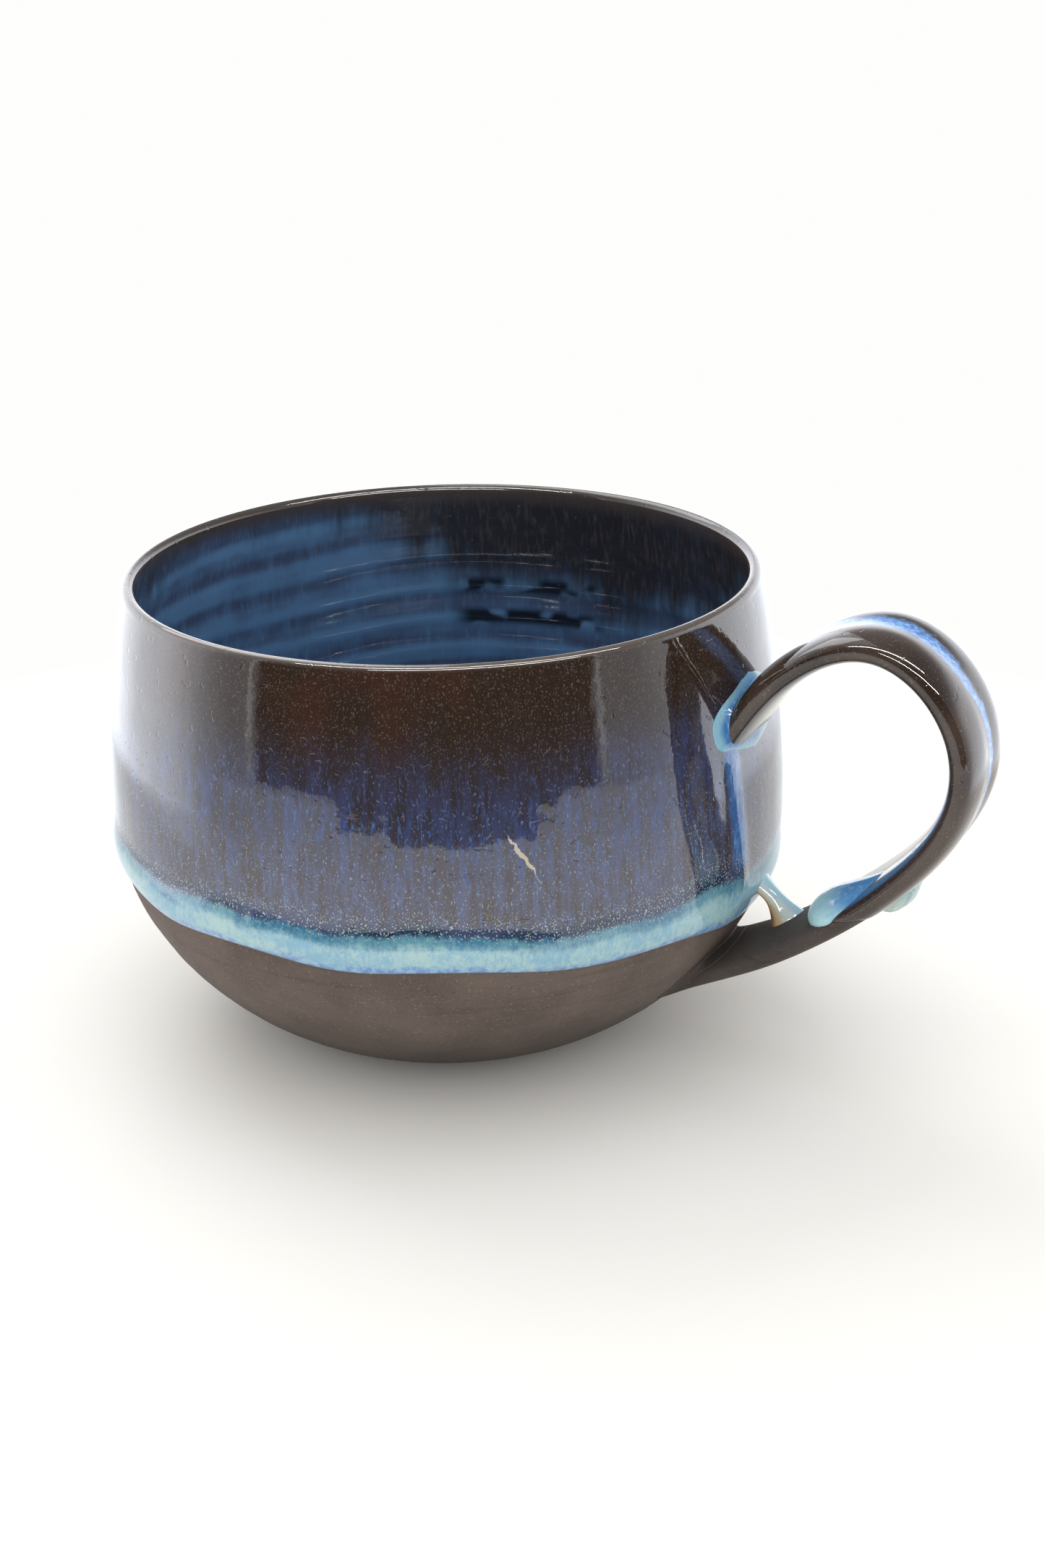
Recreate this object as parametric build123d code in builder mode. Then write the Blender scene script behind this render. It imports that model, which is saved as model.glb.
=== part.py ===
from build123d import *
import os
from math import cos, pi, radians, sin

# A hand-thrown stoneware shaving mug: a round bowl on a trimmed foot, a pulled strap handle, and a running glaze.
# Sizes are in millimetres. The origin is the centre of the foot, where the mug stands. +Z is up and the handle
# is on +X. Glaze coats lie face to face on the clay, and each later piece is cut back to the earlier ones.

# Bowl, bare clay
clay_height = 75.6  # top of the lip
foot_radius = 25.3
foot_ring = 4.5  # width of the ring that the mug stands on
foot_recess = 1.2  # depth trimmed out of the base inside that ring
foot_edge = 0.5  # rounding of the ring's two edges
belly_radius = 54.6
belly_height = 35.6  # where the wall is widest
belly_bend = 28.0  # radius of the tight curve under the belly
belly_turn = 27.5  # degrees turned by that curve
rim_radius = 50.6
rim_wall = 1.6  # the lip is rounded over this thickness
wall = 3.4  # at the belly
floor = 6.4
floor_flat = 8.0  # radius of the level middle of the floor
floor_sweep = 27.0  # how far the floor's curve reaches out before it climbs
cavity_drop = 24.0  # how far the cavity's wall runs down before it turns into the floor

# Handle, bare clay
upper_joint_share = 0.585  # place of the upper joint on the wall, from the belly to the lip
lower_joint_share = 0.25  # place of the lower joint on the bowl, from the belly's curve to the foot
upper_entry = 58.0  # degrees above level at which the strap leaves the wall
lower_entry = 27.0  # degrees above level at which the strap's lower run meets the bowl
root_depth = 3.6  # how far the handle's line runs on into the bowl at each joint
handle_reach = 33.4  # from the belly to the handle's line at its furthest
handle_drop = 2.3  # from the top of the lip down to the top of the handle's line
loop_shares = (  # the loop's line, as shares of its reach from the belly and of its rise from the lower joint
    (0.123, 0.870),
    (0.590, 1.000),
    (0.970, 0.815),
    (0.978, 0.595),
    (0.830, 0.445),
    (0.536, 0.275),
    (0.110, 0.100),
)
strap_width = 18.0  # at the joints
strap_waist = 1.5  # how much narrower the strap is halfway round
strap_thickness = 4.4
strap_stations = 18
lower_run_on = 2.2 * strap_thickness  # straight run of the strap's lower end on into the bowl's side

# Slip worked round the strap's two ends
slip_width = 1.3  # beyond the strap's sides
slip_height = 1.2  # off the wall
joint_span = 0.24  # share of the handle's line that a collar of slip or glaze can lie on

# Glaze
glaze = 0.4  # coats on the bowl
handle_glaze_thickness = 0.25
glaze_line = 30.5  # height of the edge where the outer coat stops
roll_height = 5.4  # thick roll along that edge
roll_proud = 1.1  # beyond the clay
roll_above_line = 0.4  # how far up its height the roll's middle sits above the line
seam_width = 0.9  # pooled glaze beyond the upper slip
inner_drip_place = 0.723  # along the handle's line
inner_drip_side = -3.4  # from the handle's middle plane
inner_drip_length = 15.0
inner_drip_proud = 2.8  # beyond the strap
outer_drip_place = 0.672
outer_drip_side = 2.0
outer_drip_length = 9.0
outer_drip_proud = 3.2
drip_sunk = 0.8  # how far a drop's own middle lies under the strap's face
bridge_near_place = 0.855  # where the web of glaze meets the strap, nearest to the bowl
bridge_far_place = 0.775
bridge_side = 3.0
bridge_width = 5.5
bridge_root = 0.3  # how deep the web starts inside the roll
bridge_depth = 2.0  # height of the web where it leaves the roll
bridge_sag = 2.2  # hollow of the web's free edge

rim_middle = rim_radius - rim_wall / 2
lip_centre_height = clay_height - rim_wall / 2

os.makedirs("parts", exist_ok=True)


def outside_arcs(skin):
    """Three tangent arcs of the bowl's outside, grown by skin: under the belly, down to the foot, up to the lip."""
    belly = (belly_radius + skin, belly_height)
    under_belly = JernArc(belly, (0, -1), belly_bend + skin, -belly_turn)
    bowl_arc = TangentArc(under_belly @ 1, (foot_radius + skin, 0), tangent=under_belly % 1)
    wall_arc = TangentArc(belly, (rim_radius + skin, lip_centre_height), tangent=(0, 1))
    return bowl_arc, wall_arc


def draw_mug_section(outer_skin, inner_skin, mode=Mode.ADD):
    """Half section of the thrown bowl, grown outwards by outer_skin and into its cavity by inner_skin."""
    outer_top = clay_height + outer_skin
    inner_top = clay_height + inner_skin
    lip_inside = rim_middle - rim_wall / 2 - inner_skin
    cavity_radius = belly_radius - wall - inner_skin
    floor_top = floor + inner_skin
    ring_inside = foot_radius - foot_ring
    with BuildLine() as outline:
        bowl_arc, wall_arc = outside_arcs(outer_skin)
        RadiusArc(wall_arc @ 1, (rim_middle, outer_top), -(rim_wall / 2 + outer_skin))
        if outer_top != inner_top:
            Line((rim_middle, outer_top), (rim_middle, inner_top))
        RadiusArc((rim_middle, inner_top), (lip_inside, lip_centre_height), -(rim_wall / 2 + inner_skin))
        TangentArc((cavity_radius, belly_height), (lip_inside, lip_centre_height), tangent=(0, 1))
        Bezier(
            (cavity_radius, belly_height),
            (cavity_radius, belly_height - cavity_drop),
            (floor_sweep, floor_top),
            (floor_flat, floor_top),
        )
        Polyline((floor_flat, floor_top), (0, floor_top), (0, foot_recess), (ring_inside, foot_recess))
        Polyline((ring_inside, foot_recess), (ring_inside, 0), bowl_arc @ 1)
    make_face(outline.edges(), mode=mode)


def draw_roll():
    """Section of the thick roll: an ellipse whose middle lies just under the clay's surface."""
    with Locations((belly_radius - glaze, glaze_line + roll_height * roll_above_line)):
        Ellipse(roll_proud + glaze, roll_height / 2)


def filled_bowl(skin, rolled=False):
    """The bowl without its cavity, grown by skin, with the roll of glaze if rolled. Its top and foot are flat."""
    with BuildPart() as filled:
        with BuildSketch(Plane.XZ):
            with BuildLine():
                bowl_arc, wall_arc = outside_arcs(skin)
                Polyline(bowl_arc @ 1, (0, 0), (0, lip_centre_height), wall_arc @ 1)
            make_face()
            if rolled:
                draw_roll()
        revolve(axis=Axis.Z)
    return filled.part


def handle_path():
    """The handle's line: out of the wall, up over the crown, round and down to the bowl."""
    with BuildLine(mode=Mode.PRIVATE):
        bowl_arc, wall_arc = outside_arcs(0)
    upper_joint = wall_arc @ upper_joint_share
    lower_joint = bowl_arc @ lower_joint_share
    upper_way = Vector(cos(radians(upper_entry)), sin(radians(upper_entry)))
    lower_way = Vector(-cos(radians(lower_entry)), -sin(radians(lower_entry)))
    start = upper_joint - upper_way * root_depth
    end = lower_joint + lower_way * root_depth
    rise = clay_height - handle_drop - lower_joint.Y
    loop = [(belly_radius + out * handle_reach, lower_joint.Y + up * rise) for out, up in loop_shares]
    with BuildLine(Plane.XZ) as path:
        Spline(
            (start.X, start.Y),
            *loop,
            (end.X, end.Y),
            tangents=((upper_way.X, upper_way.Y), (lower_way.X, lower_way.Y)),
        )
    return path.edge()


handle_line = handle_path()


def line_plane(place):
    """Plane across the handle's line: its X is +Y of the mug and its Y points to the outside of the loop."""
    return Plane(origin=handle_line @ place, x_dir=(0, 1, 0), z_dir=handle_line % place)


def strap(grow, first=0.0, last=1.0):
    """Strap between two places on the handle's line, grown by grow all round; its lower end runs on into the bowl."""
    with BuildPart() as band:
        for station in range(strap_stations + 1):
            place = first + (last - first) * station / strap_stations
            width = strap_width - strap_waist * sin(pi * place)
            with BuildSketch(line_plane(place)):
                SlotOverall(width + 2 * grow, strap_thickness + 2 * grow)
        loft()
        if last == 1:
            with BuildSketch(line_plane(1)):
                SlotOverall(strap_width + 2 * grow, strap_thickness + 2 * grow)
            extrude(amount=lower_run_on)
    return band.part


def collar(first, last, beyond, off_wall):
    """Ring of material round one end of the strap, still holding the strap and the bowl, out to off_wall."""
    with BuildPart() as ring:
        add(strap(beyond, first, last))
        add(filled_bowl(off_wall), mode=Mode.INTERSECT)
    return ring.part


def drop(place, side, length, proud, inside):
    """Hanging drop of glaze: a spindle along the strap, with its middle just under one of the strap's faces."""
    face = strap_thickness / 2 - drip_sunk
    away = -line_plane(place).y_dir if inside else line_plane(place).y_dir
    along = handle_line % place
    centre = handle_line @ place + away * face + Vector(0, side, 0)
    with BuildPart() as spindle:
        with BuildSketch(Plane(origin=centre, x_dir=along, z_dir=(0, 1, 0))):
            Ellipse(length / 2, proud + drip_sunk)
            Rectangle(length, length, align=(Align.CENTER, Align.MAX), mode=Mode.SUBTRACT)
        revolve(axis=Axis(centre, along))
        split(bisect_by=Plane(origin=handle_line @ place, z_dir=away), keep=Keep.TOP)
    return spindle.part


# Solids that the pieces are cut back to
bowl_solid = filled_bowl(0)
coated_bowl = filled_bowl(glaze)
rolled_bowl = filled_bowl(0, rolled=True)
strap_solid = strap(0)
upper_collar = collar(0, joint_span, slip_width, slip_height)
lower_collar = collar(1 - joint_span, 1, slip_width, slip_height)
with BuildPart() as coated_strap:
    add(strap(handle_glaze_thickness))
    split(bisect_by=Plane.XY.offset(glaze_line), keep=Keep.TOP)

# Thrown bowl
with BuildPart() as clay_body:
    with BuildSketch(Plane.XZ):
        draw_mug_section(0, 0)
    revolve(axis=Axis.Z)
    fillet(clay_body.edges().filter_by(GeomType.CIRCLE).group_by(Axis.Z)[0], foot_edge)
clay_body.part.label = "clay_body"

# Pulled strap handle
with BuildPart() as handle:
    add(strap_solid)
    add(bowl_solid, mode=Mode.SUBTRACT)
handle.part.label = "handle"

# Slip worked round the two joints
with BuildPart() as upper_slip:
    add(upper_collar)
    add(bowl_solid, mode=Mode.SUBTRACT)
    add(strap_solid, mode=Mode.SUBTRACT)
upper_slip.part.label = "upper_slip"

with BuildPart() as lower_slip:
    add(lower_collar)
    add(bowl_solid, mode=Mode.SUBTRACT)
    add(strap_solid, mode=Mode.SUBTRACT)
lower_slip.part.label = "lower_slip"

# Coat poured inside, up to the middle of the lip
with BuildPart() as liner_glaze:
    with BuildSketch(Plane.XZ):
        draw_mug_section(0, glaze)
        draw_mug_section(0, 0, mode=Mode.SUBTRACT)
    revolve(axis=Axis.Z)
liner_glaze.part.label = "liner_glaze"

# Coat dipped over the outside, from the middle of the lip down to the glaze line
with BuildPart() as outer_glaze:
    with BuildSketch(Plane.XZ):
        draw_mug_section(glaze, 0)
        draw_mug_section(0, 0, mode=Mode.SUBTRACT)
        Rectangle(belly_radius * 2, glaze_line, align=(Align.MIN, Align.MIN), mode=Mode.SUBTRACT)
    revolve(axis=Axis.Z)
    add(strap(slip_width, 0, joint_span), mode=Mode.SUBTRACT)
outer_glaze.part.label = "outer_glaze"

# Thick roll along the outer coat's lower edge
with BuildPart() as glaze_roll:
    with BuildSketch(Plane.XZ):
        draw_roll()
        draw_mug_section(0, 0, mode=Mode.SUBTRACT)
        with BuildSketch(mode=Mode.SUBTRACT):
            draw_mug_section(glaze, 0)
            Rectangle(belly_radius * 2, glaze_line, align=(Align.MIN, Align.MIN), mode=Mode.SUBTRACT)
    revolve(axis=Axis.Z)
glaze_roll.part.label = "glaze_roll"

# Coat on the handle, from the upper slip down to the glaze line
with BuildPart() as handle_glaze:
    add(coated_strap.part)
    add(filled_bowl(slip_height), mode=Mode.SUBTRACT)
    add(strap_solid, mode=Mode.SUBTRACT)
handle_glaze.part.label = "handle_glaze"

# Glaze pooled round the upper joint
with BuildPart() as seam_glaze:
    add(collar(0, joint_span, slip_width + seam_width, slip_height + seam_width))
    add(coated_bowl, mode=Mode.SUBTRACT)
    add(upper_collar, mode=Mode.SUBTRACT)
    add(coated_strap.part, mode=Mode.SUBTRACT)
seam_glaze.part.label = "seam_glaze"

# Drops that ran down the strap below the glaze line
with BuildPart() as inner_drip:
    add(drop(inner_drip_place, inner_drip_side, inner_drip_length, inner_drip_proud, inside=True))
    add(strap_solid, mode=Mode.SUBTRACT)
    add(coated_strap.part, mode=Mode.SUBTRACT)
inner_drip.part.label = "inner_drip"

with BuildPart() as outer_drip:
    add(drop(outer_drip_place, outer_drip_side, outer_drip_length, outer_drip_proud, inside=False))
    add(strap_solid, mode=Mode.SUBTRACT)
    add(coated_strap.part, mode=Mode.SUBTRACT)
outer_drip.part.label = "outer_drip"

# Web of glaze between the roll and the strap's lower run
near_foot = ((handle_line @ bridge_near_place).X, (handle_line @ bridge_near_place).Z)
far_foot = ((handle_line @ bridge_far_place).X, (handle_line @ bridge_far_place).Z)
web_radius = belly_radius + roll_proud - bridge_root * 2
low_root = (web_radius, glaze_line + bridge_root)
high_root = (web_radius, glaze_line + bridge_root + bridge_depth)
with BuildPart() as glaze_bridge:
    with BuildSketch(Plane.XZ.offset(-bridge_side)):
        with BuildLine():
            Polyline(far_foot, near_foot, low_root, high_root)
            SagittaArc(high_root, far_foot, -bridge_sag)
        make_face()
    extrude(amount=bridge_width / 2, both=True)
    add(rolled_bowl, mode=Mode.SUBTRACT)
    add(strap_solid, mode=Mode.SUBTRACT)
    add(coated_strap.part, mode=Mode.SUBTRACT)
glaze_bridge.part.label = "glaze_bridge"

pieces = (
    clay_body,
    handle,
    upper_slip,
    lower_slip,
    liner_glaze,
    outer_glaze,
    glaze_roll,
    handle_glaze,
    seam_glaze,
    inner_drip,
    outer_drip,
    glaze_bridge,
)
for piece in pieces:
    export_step(piece.part, "parts/" + piece.part.label + ".step")
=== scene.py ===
from math import atan2, cos, degrees, exp, hypot, pi, radians, sin, sqrt

import bmesh
import bpy
from mathutils import Matrix, Vector, noise


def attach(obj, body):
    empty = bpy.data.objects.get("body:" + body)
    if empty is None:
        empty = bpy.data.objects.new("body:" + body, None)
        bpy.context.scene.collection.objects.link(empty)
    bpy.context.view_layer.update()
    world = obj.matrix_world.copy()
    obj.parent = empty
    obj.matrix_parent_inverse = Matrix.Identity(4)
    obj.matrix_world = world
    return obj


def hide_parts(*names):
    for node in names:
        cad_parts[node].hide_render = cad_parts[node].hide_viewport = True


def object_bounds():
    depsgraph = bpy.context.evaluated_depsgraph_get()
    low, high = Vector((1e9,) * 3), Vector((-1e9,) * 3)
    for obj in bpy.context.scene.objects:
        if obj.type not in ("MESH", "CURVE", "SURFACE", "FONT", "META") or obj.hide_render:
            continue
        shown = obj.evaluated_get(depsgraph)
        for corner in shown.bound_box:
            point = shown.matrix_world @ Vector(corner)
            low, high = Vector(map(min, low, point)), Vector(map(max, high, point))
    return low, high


# Looks of a hand-thrown stoneware mug: bare clay, a running outer glaze with a thick rolled edge, a blue
# liner, and a pulled strap handle with pooled glaze. Shapes are worked out in millimetres and made in metres.

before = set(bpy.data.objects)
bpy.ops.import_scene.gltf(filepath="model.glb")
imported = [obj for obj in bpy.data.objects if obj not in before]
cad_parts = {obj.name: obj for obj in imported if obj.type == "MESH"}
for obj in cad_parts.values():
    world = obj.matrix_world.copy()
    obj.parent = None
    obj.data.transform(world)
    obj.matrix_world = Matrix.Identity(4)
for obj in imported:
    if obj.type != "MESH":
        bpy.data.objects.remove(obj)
cad_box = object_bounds()

MM = 0.001
LIP_TOP = cad_box[1][2] / MM  # top of the glazed lip

# Bowl, bare clay
BELLY_R, BELLY_Z = 54.6, 35.6
BEND, TURN = 28.0, radians(27.5)
FOOT_R, FOOT_RING, RECESS = 25.3, 4.5, 1.2
FOOT_EDGE = 0.5  # rounding of the foot ring's inner edge, and height of its outer edge
HIDDEN_CLAY_Z = 34.5  # above this the glaze covers the clay, which then needs no trimming lines
LIP_R, LIP_Z, LIP_HALF = 50.6, 74.8, 0.8
LIP_MID = LIP_R - LIP_HALF
CAVITY_R, CAVITY_LIP_R = 51.2, 49.0
FLOOR, FLOOR_FLAT, FLOOR_SWEEP, CAVITY_DROP = 6.4, 8.0, 27.0, 24.0

# Handle, bare clay
UPPER_JOINT, LOWER_JOINT = (53.23, 58.64), (46.63, 15.24)
UPPER_ENTRY, LOWER_ENTRY = radians(58), radians(27)
ROOT, REACH, DROP = 3.6, 33.4, 2.3
LOOP = ((0.123, 0.87), (0.59, 1.0), (0.97, 0.815), (0.978, 0.595), (0.83, 0.445), (0.536, 0.275), (0.11, 0.1))
STRAP_W, STRAP_WAIST, STRAP_T = 18.0, 1.5, 4.4
SQUARENESS = 2.7  # 2 is an ellipse, more is nearer to a box

# Glaze
COAT, LIP_COAT = 0.36, 0.22  # thickness on the wall and where it thins over the lip
ROLL_TALL, ROLL_PROUD = 7.8, 1.04
ROLL_WIDEST = 0.36  # share of the roll's height at which it stands furthest out
HIDDEN = -0.14  # how far a coat's unseen side lies under the clay's surface


def smooth(x, low, high):
    """0 below low, 1 above high and an S-curve between them."""
    t = min(1.0, max(0.0, (x - low) / (high - low)))
    return t * t * (3 - 2 * t)


def upright_arc(r0, z0, r1, z1):
    """Radius of the arc that is upright at r0, z0 and passes through r1, z1."""
    return ((z1 - z0) ** 2 + (r0 - r1) ** 2) / (2 * (r0 - r1))


WALL_ARC = upright_arc(BELLY_R, BELLY_Z, LIP_R, LIP_Z)
CAVITY_ARC = upright_arc(CAVITY_R, BELLY_Z, CAVITY_LIP_R, LIP_Z)
TURN_R, TURN_Z = BELLY_R - BEND + BEND * cos(TURN), BELLY_Z - BEND * sin(TURN)
BOWL_ARC = ((TURN_R - FOOT_R) ** 2 + TURN_Z**2) / (2 * ((TURN_R - FOOT_R) * cos(TURN) - TURN_Z * sin(TURN)))
BOWL_R, BOWL_Z = TURN_R - BOWL_ARC * cos(TURN), TURN_Z + BOWL_ARC * sin(TURN)


def outside(z):
    """Radius and outward normal of the bare bowl's outside at height z."""
    if z >= BELLY_Z:
        middle_r, middle_z, radius = BELLY_R - WALL_ARC, BELLY_Z, WALL_ARC
    elif z >= TURN_Z:
        middle_r, middle_z, radius = BELLY_R - BEND, BELLY_Z, BEND
    else:
        middle_r, middle_z, radius = BOWL_R, BOWL_Z, BOWL_ARC
    up = (z - middle_z) / radius
    out = sqrt(1 - up * up)
    return middle_r + radius * out, out, up


def thrown(theta, z):
    """Slight ridges that fingers leave on the outside, in a slow spiral."""
    ridges = 0.012 * sin(2 * pi * z / 6.8 + theta) + 0.03 * sin(2 * pi * z / 19 - theta + 1)
    return ridges * smooth(z, 3, 14) * (1 - smooth(z, 66, 73))


def on_wall(theta, z, off):
    """Point off the bare clay of the outside by off."""
    radius, out, up = outside(z)
    off += thrown(theta, z)
    radius += out * off
    return Vector((radius * cos(theta), radius * sin(theta), z + up * off))


def around(theta, place):
    """Signed degrees from the azimuth place."""
    return (degrees(theta) - place + 180) % 360 - 180


def glaze_edge(theta):
    """Height of the wavy line where the outer glaze stops. It hangs lower near the handle."""
    waves = 0.45 * cos(radians(10 * around(theta, -59))) + 1.6 * cos(radians(around(theta, -135)))
    waves += 0.3 * noise.noise(Vector((4 * cos(theta), 4 * sin(theta), 2)))
    return 29.6 + waves - 2.9 * exp(-((around(theta, 8) / 35) ** 2))


def spread(theta):
    """How much taller the bands of the roll are near the handle."""
    return 1 + 0.4 * exp(-((around(theta, 4) / 26) ** 2))


def build(name, rings, values=None, loop=False, crease=()):
    """Closed mesh from closed rings of points in millimetres. Its ends are capped, or joined if loop is set.

    values holds one number for each point, by attribute name, and crease the rings whose edges stay sharp.
    """
    count = len(rings[0])
    points = [p * MM for ring in rings for p in ring]
    faces = []
    last = len(rings) if loop else len(rings) - 1
    for i in range(last):
        a, b = i * count, (i + 1) % len(rings) * count
        for j in range(count):
            k = (j + 1) % count
            faces.append((a + j, a + k, b + k, b + j))
    if not loop:
        for i in (0, len(rings) - 1):
            middle = sum((p for p in rings[i]), Vector()) / count
            points.append(middle * MM)
            for j in range(count):
                faces.append((i * count + j, i * count + (j + 1) % count, len(points) - 1))
    mesh = bpy.data.meshes.new(name)
    mesh.from_pydata(points, [], faces)
    mesh.polygons.foreach_set("use_smooth", [True] * len(mesh.polygons))
    for key, rows in (values or {}).items():
        flat = [v for row in rows for v in row]
        flat += [0.0] * (len(points) - len(flat))
        mesh.attributes.new(key, "FLOAT", "POINT").data.foreach_set("value", flat)
    if crease:
        for edge in mesh.edges:
            a, b = edge.vertices
            if a // count == b // count and a // count in crease:
                edge.use_edge_sharp = True
    body = bmesh.new()
    body.from_mesh(mesh)
    bmesh.ops.recalc_face_normals(body, faces=body.faces)
    body.to_mesh(mesh)
    body.free()
    mesh.validate()
    piece = bpy.data.objects.new(name, mesh)
    bpy.context.scene.collection.objects.link(piece)
    return piece


def place(piece, material, slot, *nodes):
    """Give a piece its material, and hide the nodes of the part that it stands for. slot is not used."""
    piece.data.materials.append(material)
    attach(piece, "root")
    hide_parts(*nodes)


# ---------------------------------------------------------------- bowl

AROUND = 420
THETAS = [2 * pi * j / AROUND for j in range(AROUND)]


def level_ring(r, z):
    """Level circle of points about the mug's axis."""
    return [Vector((r * cos(t), r * sin(t), z)) for t in THETAS]


def bezier(points, t):
    """Point of the Bezier curve through two-number control points."""
    while len(points) > 1:
        points = [(a[0] + (b[0] - a[0]) * t, a[1] + (b[1] - a[1]) * t) for a, b in zip(points, points[1:])]
    return points[0]


def cavity_line(skin):
    """Points of the cavity, grown inwards by skin, from the middle of the lip to the middle of the floor."""
    line = []
    for k in range(7):
        turn = pi / 2 * (1 + k / 6)
        line.append((LIP_MID + (LIP_HALF + skin) * cos(turn), LIP_Z + (LIP_HALF + skin) * sin(turn)))
    for k in range(1, 57):
        z = LIP_Z + (BELLY_Z - LIP_Z) * k / 56
        line.append((CAVITY_R - CAVITY_ARC + sqrt(CAVITY_ARC**2 - (z - BELLY_Z) ** 2) - skin, z))
    low = FLOOR + skin
    r = CAVITY_R - skin
    sweep = [(r, BELLY_Z), (r, BELLY_Z - CAVITY_DROP), (FLOOR_SWEEP, low), (FLOOR_FLAT, low)]
    for k in range(1, 45):
        line.append(bezier(sweep, k / 44))
    for k in range(1, 8):
        line.append((FLOOR_FLAT - (FLOOR_FLAT - 0.4) * k / 7, low))
    return line


def trimmed(theta, z):
    """Fine turning lines left by the trimming tool below the glaze."""
    lines = noise.noise(Vector((0.6 * cos(theta), 0.6 * sin(theta), z * 1.1)))
    fine = noise.noise(Vector((1.5 * cos(theta), 1.5 * sin(theta), z * 3.1 + 9)))
    return (0.07 * lines + 0.035 * fine) * smooth(z, 1.2, 3) * (1 - smooth(z, 33, 37))


# Bare clay, from the middle of the recess under the foot, round the foot, up, over the lip and down inside
ring_in = FOOT_R - FOOT_RING
clay_rings = []
for r in (0.4, 8, 16, ring_in - 0.6):
    clay_rings.append(level_ring(r, RECESS))
for k in range(7):
    r = ring_in - 0.5 + 0.5 * sin(pi / 2 * k / 6)
    clay_rings.append(level_ring(r, RECESS - 0.05 - (RECESS - 0.55) * k / 6))
for k in range(6):
    turn = pi / 2 * (k + 1) / 6
    r, z = ring_in + FOOT_EDGE - FOOT_EDGE * cos(turn), FOOT_EDGE - FOOT_EDGE * sin(turn)
    clay_rings.append(level_ring(r, z))
for k in range(1, 4):
    clay_rings.append(level_ring(ring_in + FOOT_EDGE + (FOOT_RING - 1.1) * k / 3, 0))
for k in range(1, 6):
    turn = pi / 2 * k / 6
    r, z = outside(FOOT_EDGE)[0] - 0.6 * (1 - sin(turn)), FOOT_EDGE * (1 - cos(turn))
    clay_rings.append(level_ring(r, z))
for k in range(75):
    z = FOOT_EDGE + (HIDDEN_CLAY_Z - FOOT_EDGE) * k / 74
    clay_rings.append([on_wall(t, z, trimmed(t, z)) for t in THETAS])
for k in range(1, 21):
    z = HIDDEN_CLAY_Z + (LIP_Z - HIDDEN_CLAY_Z) * k / 20
    clay_rings.append([on_wall(t, z, 0) for t in THETAS])
for k in range(1, 4):
    turn = pi / 2 * k / 4
    clay_rings.append(level_ring(LIP_MID + LIP_HALF * cos(turn), LIP_Z + LIP_HALF * sin(turn)))
for r, z in cavity_line(-0.5)[3::4]:
    clay_rings.append(level_ring(r, z))
bowl_clay = build("bowl_clay", clay_rings)

# Liner: throwing rings wind down the inside in one spiral
line = cavity_line(COAT)
liner_rings, ring_rows = [], []
walked = 0.0
for i, (r, z) in enumerate(line):
    before, after = line[max(i - 1, 0)], line[min(i + 1, len(line) - 1)]
    run_r, run_z = after[0] - before[0], after[1] - before[1]
    size = hypot(run_r, run_z)
    out, up = run_z / size, -run_r / size
    if i:
        walked += hypot(r - line[i - 1][0], z - line[i - 1][1])
    depth = 0.33 * smooth(walked, 6, 20) * smooth(r, 2, 9)
    ring, row = [], []
    for t in THETAS:
        wander = noise.noise(Vector((1.3 * cos(t), 1.3 * sin(t), walked * 0.05)))
        phase = 2 * pi * walked / 6.4 - t + 1.6 * wander
        wave = sin(phase) + 0.35 * sin(2.3 * phase + 1)
        off = depth * (0.75 + 0.5 * wander) * (wave - 0.3) * 0.6
        if i == len(line) - 1:
            off = 0
        radius = r - out * off
        ring.append(Vector((radius * cos(t), radius * sin(t), z - up * off)))
        row.append(wave)
    liner_rings.append(ring)
    ring_rows.append(row)
liner_rings[0] = [Vector((p.x, p.y, LIP_Z + LIP_HALF + COAT)) for p in liner_rings[0]]
back = cavity_line(-0.3)[::4]
for r, z in reversed(back):
    liner_rings.append(level_ring(r, z))
    ring_rows.append([0.0] * AROUND)

# The liner's two skins meet at the lip, so its rings run up the hidden side and then down the seen side
turned = liner_rings[len(line) :] + liner_rings[: len(line)]
turned_rows = ring_rows[len(line) :] + ring_rows[: len(line)]
liner = build("liner", turned, {"ring": turned_rows}, crease=(len(back),))


def run_middle(z):
    """Azimuth in degrees of the run of glaze that leaves the upper joint."""
    return -8.6 + 0.12 * (54 - z)


def coat_thickness(theta, z):
    """Outer glaze above its roll: thin at the lip, with a thick run below the upper joint."""
    thick = LIP_COAT + (COAT - LIP_COAT) * smooth(LIP_TOP - z, 0, 9)
    thick += 0.05 * noise.noise(Vector((9 * cos(theta), 9 * sin(theta), z * 0.05)))
    across = around(theta, run_middle(z)) / 1.9
    thick += 0.42 * exp(-across * across) * (1 - smooth(z, 52, 58))
    return thick


coat_rings, edge_rows, run_rows = [], [], []
edges = [glaze_edge(t) for t in THETAS]
spreads = [spread(t) for t in THETAS]
proud = [ROLL_PROUD + 0.07 * noise.noise(Vector((3 * cos(t), 3 * sin(t), 4))) for t in THETAS]


def run_strength(theta, z):
    """1 in the middle of the run of glaze and 0 away from it."""
    return exp(-((around(theta, run_middle(z)) / 2.3) ** 2)) * (1 - smooth(z, 54, 60))


def add_ring(heights, offs):
    """Ring of the coat with its own height and its own distance from the clay at each azimuth."""
    coat_rings.append([on_wall(t, z, off) for t, z, off in zip(THETAS, heights, offs)])
    edge_rows.append([(z - e) / w for z, e, w in zip(heights, edges, spreads)])
    run_rows.append([run_strength(t, z) for t, z in zip(THETAS, heights)])


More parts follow.
